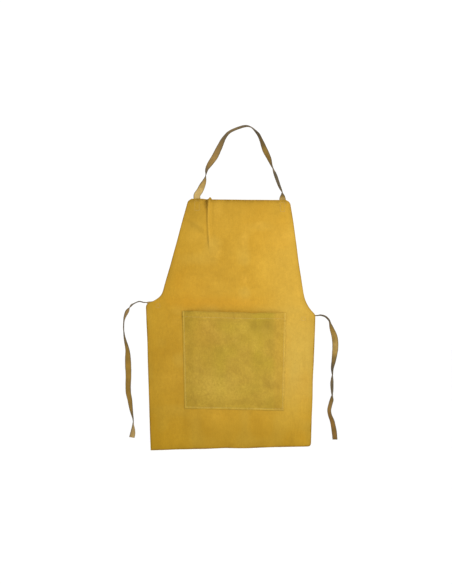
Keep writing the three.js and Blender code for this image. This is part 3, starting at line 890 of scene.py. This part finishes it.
def box_stitch(piece, replaced, left, right, low, high):
    """A box of stitches through the panel and a sewn end, on both faces: the needle thread in
    front and the bobbin thread behind. The names have a place for each thread's name."""
    back = END_Y + STRAP_THICK / 2
    for thread, y, outwards in (("needle", -PANEL_BACK, -1), ("bobbin", back, 1)):
        corners = [
            (left, y, high - BOX_GAP), (left, y, low), (right, y, low), (right, y, high),
            (left + BOX_GAP, y, high),
        ]
        stitch_row(piece.format(thread), polyline(corners), outwards, replaced.format(thread))


def make_strap_thread():
    for side, low, high in (
        ("left", LEFT_ROOT_LOW, LEFT_ROOT_HIGH), ("right", RIGHT_ROOT_LOW, RIGHT_ROOT_HIGH),
    ):
        box_stitch(
            f"neck_strap_{side}_{{}}_stitches", f"neck_strap_{{}}_thread_{side}",
            low.x + STITCH_INSET, high.x - STITCH_INSET,
            low.z + STITCH_INSET, high.z - 2 * STITCH_INSET)


# ---- Strap and ties -------------------------------------------------------------------
# Neck strap, from its left seam over the hook to its right one: share of the seam's X and of
# its drop, or X and height at the top, the twist in degrees, where 0 shows its face to the
# front and 90 its edge, how dark it is (soiling, and painted shade where it turns edge-on) and how rubbed it
# is.
STRAP_LEFT_LEG = [
    [1, 1, 0, 0, 0.9], [1, 0.95, 2, 0, 0.9], [0.944, 0.889, 10, 0, 0.8],
    [0.885, 0.81, 35, 0.1, 0.5], [0.844, 0.745, 62, 0.3, 0.3], [0.818, 0.667, 94, 0.95, 0],
    [0.794, 0.589, 121, 0.5, 0], [0.715, 0.5, 150, 0.1, 0], [0.627, 0.412, 165, 0.12, 0],
    [0.529, 0.278, 150, 0.30, 0], [0.429, 0.144, 126, 0.6, 0.1], [0.296, 0.054, 117, 0.65, 0.1],
]
STRAP_TOP = [[-0.002, 0.004, 114, 0.8, 0.1]]
STRAP_RIGHT_LEG = [
    [0.173, 0.004, 96, 0.9, 0], [0.343, 0.087, 71, 1, 0], [0.428, 0.174, 64, 0.8, 0],
    [0.534, 0.316, 42, 0.3, 0.1], [0.641, 0.425, 52, 0.35, 0], [0.726, 0.534, 84, 0.6, 0.1],
    [0.809, 0.644, 118, 1, 0], [0.915, 0.797, 116, 1, 0], [0.98, 0.87, 103, 1, 0],
    [1, 0.917, 74, 0.7, 0.1], [1, 0.96, 34, 0.1, 0.4], [1, 1, 6, 0, 0.5],
]
# A tie, from the outside of the hip: outwards, backwards, up, twist, soiled (with painted shade where it
# turns edge-on) and rubbed.
LEFT_TIE = [
    [0.0, 0, 0, 88, 0.9, 0], [0.006, 0, 0.0006, 87, 1, 0], [0.02, -0.001, 0.0034, 86, 1, 0],
    [0.037, -0.002, -0.0035, 84, 0.9, 0], [0.05, -0.002, -0.013, 76, 0.7, 0],
    [0.062, -0.001, -0.031, 116, 0.4, 0], [0.0705, 0, -0.052, 104, 0.45, 0],
    [0.0745, 0.001, -0.071, 91, 0.9, 0], [0.0755, 0.002, -0.096, 88, 1, 0],
    [0.0726, 0.003, -0.121, 76, 0.9, 0], [0.0684, 0.003, -0.142, 64, 0.45, 0],
    [0.062, 0.002, -0.173, 47, 0.2, 0], [0.06, 0, -0.214, 22, 0.05, 0], [0.058, -0.002, -0.266, 30, 0, 0],
    [0.059, -0.003, -0.299, 36, 0.05, 0], [0.058, -0.002, -0.327, 34, 0.05, 0],
    [0.0527, 0, -0.354, 42, 0.12, 0], [0.0473, 0.002, -0.391, 60, 0.35, 0],
    [0.0415, 0.003, -0.419, 78, 0.9, 0], [0.0408, 0.002, -0.439, 92, 0.5, 0.3],
    [0.0408, 0.001, -0.456, 114, 0.2, 0.4], [0.0426, 0, -0.474, 135, 0.15, 0.4],
    [0.046, -0.001, -0.489, 140, 0.1, 0.5],
]
RIGHT_TIE = [
    [0.0, 0, 0, 88, 0.8, 0], [0.006, 0, 0.0006, 86, 0.8, 0], [0.015, -0.001, 0.002, 82, 0.9, 0],
    [0.032, -0.002, -0.003, 80, 1, 0], [0.0447, -0.002, -0.0156, 80, 1, 0],
    [0.049, -0.001, -0.026, 80, 0.7, 0], [0.055, 0, -0.0485, 55, 0.1, 0.1],
    [0.0653, 0.001, -0.0796, 35, 0, 0.25], [0.0674, 0.002, -0.115, 30, 0, 0.45],
    [0.063, 0.002, -0.1566, 52, 0.3, 0.2], [0.058, 0.002, -0.1877, 70, 0.9, 0],
    [0.0576, 0.001, -0.2083, 86, 1, 0], [0.0569, 0, -0.23, 112, 1, 0],
    [0.0559, -0.001, -0.2484, 121, 1, 0], [0.0569, -0.001, -0.2758, 112, 1, 0],
    [0.0569, 0, -0.289, 93, 0.8, 0], [0.056, 0.001, -0.303, 64, 0.4, 0],
    [0.0505, 0.002, -0.322, 60, 0.15, 0.2], [0.046, 0.002, -0.342, 60, 0.1, 0.1],
    [0.0485, 0.001, -0.361, 58, 0.3, 0], [0.0565, 0, -0.384, 50, 0.15, 0],
    [0.0624, -0.001, -0.4142, 45, 0.15, 0], [0.066, -0.001, -0.4493, 45, 0.3, 0],
]
# The sewn end of a tie, from its exit back behind the hip: inwards, share of the way
# towards the panel, down, and the twist in degrees.
TIE_END = [
    [0.0, 0, 0, 88], [0.006, 0, 0, 88], [0.014, 0.04, 0.0014, 68], [0.022, 0.3, 0.0036, 40],
    [0.03, 0.7, 0.006, 14], [0.034, 0.9, 0.0072, 5], [0.038, 0.985, 0.0084, 0],
    [0.049, 1, 0.0108, 0], [0.06, 1, 0.013, 0],
]
TIE_FLAT_FROM = TIE_END[-3]     # from there on it lies flat behind the panel
TIE_CUT = TIE_END[-1]
SEWN_WORN = [0.2, 0.3]          # how soiled and rubbed the sewn ends are
BROWN_FROM, BROWN_FULL = 0.70, 0.82  # shares of its length where the right tie turns browner
STRAP_SETTLE = 0.14             # the strap follows the bib's sag up to that far above it
TIE_SETTLE = 0.12               # a tie follows the panel's sag up to that far from the hip
HIP_INSIDE = 0.007              # from a tie's exit inwards to the panel's edge
EDGE_SOILED = 0.5               # edges of the strips are darker
CURL = 0.0022                   # how far a strip curls where it is twisted edge-on
STRAP_STEP = 0.0026             # between one section of a strip and the next


def catmull(points, per):
    """A uniform Catmull-Rom curve through rows of numbers, and its slope."""
    points = np.array(points, float)
    padded = np.concatenate([[2 * points[0] - points[1]], points, [2 * points[-1] - points[-2]]])
    at, slope = [], []
    for k in range(len(points) - 1):
        a, b, c, d = padded[k : k + 4]
        for t in np.arange(per) / per:
            at.append(0.5 * (2 * b + (c - a) * t + (2 * a - 5 * b + 4 * c - d) * t**2
                             + (3 * b - a - 3 * c + d) * t**3))
            slope.append(0.5 * ((c - a) + 2 * (2 * a - 5 * b + 4 * c - d) * t
                                + 3 * (3 * b - a - 3 * c + d) * t**2))
    at.append(points[-1])
    slope.append(0.5 * (padded[-1] - padded[-3]))
    return np.array(at), np.array(slope)


def strip_frame(route):
    """Even steps down a strip: how far along each is, its middle, the way across and the way
    its face looks, and the route's twist, soiled share with its painted shade, and rubbed there."""
    dense, slope = catmull(route, 24)
    lengths = lengths_along(dense[:, :3])
    at = np.linspace(0, lengths[-1], int(lengths[-1] / STRAP_STEP) + 1)
    rows = columns_at(at, lengths, dense)
    tangent = unit(columns_at(at, lengths, slope[:, :3]))
    twist = np.radians(rows[:, 3:4])
    flat = unit(np.cross(tangent, [0, 1, 0]))
    deep = np.cross(flat, tangent)
    side = np.cos(twist) * flat - np.sin(twist) * deep
    return at, rows[:, :3], side, np.cross(tangent, side), twist[:, 0], rows[:, 4], rows[:, 5]


# Round a strip's section, anticlockwise from its back left: [across, through].
FLAT_PART = [-0.955, -0.66, -0.2, 0.2, 0.66, 0.955]
SECTION = [
    *((across, -1) for across in FLAT_PART), (1, -0.5), (1, 0.5),
    *((across, 1) for across in reversed(FLAT_PART)), (-1, 0.5), (-1, -0.5),
]


def strip_faces(steps):
    """Faces round and along a strip and over its two ends, and what each of them is."""
    count = len(SECTION)
    last = steps * count
    faces, kinds = [], []
    for start in range(0, last, count):
        for side in range(count):
            after = (side + 1) % count
            a, b = start + side, start + after
            faces.append([a, b, b + count, a + count])
            pair = (SECTION[side][1], SECTION[after][1])
            kinds.append(FRONT if min(pair) > 0.9 else BACK if max(pair) < -0.9 else EDGE)
    for c in range(count // 2 - 1):
        p, q, r, s = c, c + 1, count - 2 - c, count - 1 - c
        faces += [[p, s, r, q], [last + p, last + q, last + r, last + s]]
        kinds += [EDGE, EDGE]
    return faces, kinds


def ribbon(name, route, materials, seed, settle, warmth=0.0):
    """A strip of leather along a route of x, y, z, twist, soiled (with painted shade where it turns edge-on)
    and rubbed. settle moves its points as the leather it is sewn to hangs. Returns the piece and the line
    down its middle."""
    at, centre, side, face, twist, soil_and_shade, rub_and_highlight = strip_frame(route)
    soil_and_shade = soil_and_shade + 0.12 * waver(at, 0.02, seed + 5)
    warm = warmth * smooth((at / at[-1] - BROWN_FROM) / (BROWN_FULL - BROWN_FROM))
    wide = STRAP_WIDE / 2 * (1 + 0.035 * waver(at, 0.045, seed))
    thick = STRAP_THICK / 2 * (1 + 0.10 * waver(at, 0.03, seed + 1))
    cup = 0.0010 * waver(at, 0.08, seed + 2) + CURL * np.abs(np.sin(twist)) ** 6
    points, uvs, worn_and_shaded = [], [], []
    for across, through in SECTION:
        aside = across * (wide + 0.0004 * waver(at, 0.012, seed + 3, across))
        lift = through * thick + cup * (across**2 - 0.4)
        points.append(centre + side * aside[:, None] + face * lift[:, None])
        uvs.append(np.stack([across * STRAP_WIDE / 2 + 0 * at, at], -1))
        edge = EDGE_SOILED * (abs(across) > 0.9) * (1 + 0.5 * waver(at, 0.015, seed + 6, across))
        worn_and_shaded.append(np.stack([soil_and_shade + edge, warm, rub_and_highlight, 0 * at], -1))
    vertices = settle(np.stack(points, 1).reshape(-1, 3))
    faces, kinds = strip_faces(len(at) - 1)
    piece = make_piece(name, vertices, faces, materials, kinds, np.stack(uvs, 1).reshape(-1, 2))
    set_wear(piece, np.stack(worn_and_shaded, 1).reshape(-1, 4))
    return piece, settle(centre)


def strap_settle(points):
    """The strap hangs with the bib below its top edge, and less and less above it."""
    moved = np.array(points, float)
    top = np.where(moved[:, 0] < PEAK_X / 2, TOP_LEFT, TOP_RIGHT)
    sideways, back = sag(moved[:, 0], np.minimum(moved[:, 2], top))
    share = 1 - smooth((moved[:, 2] - top) / STRAP_SETTLE)
    moved[:, 0] += sideways * share
    moved[:, 1] += back * share
    return moved


def make_neck_strap(materials):
    sewn = LEFT_ROOT_HIGH.z - LEFT_ROOT_LOW.z

    def leg(points, root, high):
        return [[across * root.x, END_Y, down * high.z, *rest] for across, down, *rest in points]

    def behind(root, high, shares):
        return [[root.x, END_Y, high.z - sewn * share, 0, *SEWN_WORN] for share in shares]

    route = [
        *behind(LEFT_ROOT, LEFT_ROOT_HIGH, (1, 0.66, 0.33)),
        *leg(STRAP_LEFT_LEG, LEFT_ROOT, LEFT_ROOT_HIGH),
        *([x, END_Y, z, *rest] for x, z, *rest in STRAP_TOP),
        *leg(STRAP_RIGHT_LEG, RIGHT_ROOT, RIGHT_ROOT_HIGH),
        *behind(RIGHT_ROOT, RIGHT_ROOT_HIGH, (0.33, 0.66, 1)),
    ]
    piece, _ = ribbon("neck_strap_leather", route, materials, 20, strap_settle)
    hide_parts("neck_strap", "neck_strap_end_left", "neck_strap_end_right")
    axis = unit(joint("apron_swing", "axis"))
    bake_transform(piece)


def make_tie(side, sign, exit_point, points, materials, seed, warmth):
    x, y, z = exit_point
    hip = x - sign * HIP_INSIDE

    def settle(places):
        moved = np.array(places, float)
        inside = np.where(sign * (moved[:, 0] - hip) < 0, moved[:, 0], hip)
        near_z = np.clip(moved[:, 2], z - 0.03, z + 0.02)
        _, back = sag(inside, near_z)
        away = np.hypot(moved[:, 0] - inside, moved[:, 2] - near_z)
        moved[:, 1] += back * (1 - smooth(away / TIE_SETTLE))
        return moved

    # The sewn end is laid from inside outwards, so its twist turns the same way as the tie's.
    route = [[x - sign * inwards, mix(y, END_Y, forward), z - down, twist, *SEWN_WORN]
             for inwards, forward, down, twist in reversed(TIE_END[1:])]
    route += [[x + sign * out, y + back, z + up, *rest] for out, back, up, *rest in points]
    piece, line = ribbon(f"{side}_tie_leather", route, materials, seed, settle, warmth)
    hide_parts(f"{side}_tie", f"{side}_tie_end")
    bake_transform(piece)
    seam = settle(np.array([[x - sign * TIE_FLAT_FROM[0], END_Y, z - TIE_FLAT_FROM[2]]]))[0]
    length = float(lengths_along(line)[-1])
    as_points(line)


def make_tie_thread(side, sign, exit_point):
    x, _, z = exit_point
    places = (TIE_CUT[0] - STITCH_INSET, TIE_FLAT_FROM[0] + STITCH_INSET)
    left, right = sorted(x - sign * inwards for inwards in places)
    centre_z = z - TIE_CUT[2] + TIE_SLOPE_ROOM
    half = STRAP_WIDE / 2 - STITCH_INSET - TIE_SLOPE_ROOM
    box_stitch(f"{side}_tie_{{}}_stitches", f"{side}_tie_{{}}_thread",
               left, right, centre_z - half, centre_z + half)


# ---- Assembly -------------------------------------------------------------------------
make_camera()
make_studio()
THREAD = waxed_thread()
HIDE = suede("apron_hide_front", rgba(0.405, 0.224, 0.0195), rgba(0.47, 0.272, 0.0285),
             rgba(0.475, 0.240, 0.018), rgba(0.455, 0.300, 0.052), 0.11, 0.011, 0.0006)
HIDE_BACK = suede("apron_hide_back", rgba(0.36, 0.22, 0.045), rgba(0.50, 0.33, 0.085),
                  rgba(0.42, 0.24, 0.04), rgba(0.46, 0.33, 0.09), 0.05, 0.009, 0.0010, 1.5)
FLESH = suede("pocket_hide_front", rgba(0.345, 0.212, 0.026), rgba(0.415, 0.27, 0.034),
              rgba(0.42, 0.235, 0.030), rgba(0.36, 0.245, 0.024), 0.05, 0.008, 0.0012, 1.5)
FLESH_BACK = suede("pocket_hide_back", rgba(0.40, 0.24, 0.03), rgba(0.48, 0.31, 0.05),
                   rgba(0.42, 0.24, 0.03), rgba(0.46, 0.31, 0.06), 0.06, 0.012, 0.0006)
HIDE_EDGE = cut_edge("hide_edge", rgba(0.36, 0.235, 0.055))
STRAP_FRONT = strap_side("strap_front", rgba(0.262, 0.150, 0.022), rgba(0.225, 0.115, 0.022),
                         rgba(0.42, 0.295, 0.105), rgba(0.068, 0.052, 0.026))
STRAP_BACK = strap_side("strap_back", rgba(0.27, 0.162, 0.046), rgba(0.24, 0.13, 0.03),
                        rgba(0.34, 0.25, 0.10), rgba(0.066, 0.052, 0.030))
STRAP_EDGE = cut_edge("strap_edge", rgba(0.095, 0.068, 0.032))
STRAP = [STRAP_FRONT, STRAP_BACK, STRAP_EDGE]

make_apron([HIDE, HIDE_BACK, HIDE_EDGE])
make_pocket([FLESH, FLESH_BACK, HIDE_EDGE])
make_pocket_thread()
make_strap_thread()
make_neck_strap(STRAP)
for side, sign, exit_point, route, seed, warmth in (
    ("left", -1, LEFT_EXIT, LEFT_TIE, 30, 0.0), ("right", 1, RIGHT_EXIT, RIGHT_TIE, 40, 0.9),
):
    make_tie(side, sign, exit_point, route, STRAP, seed, warmth)
    make_tie_thread(side, sign, exit_point)
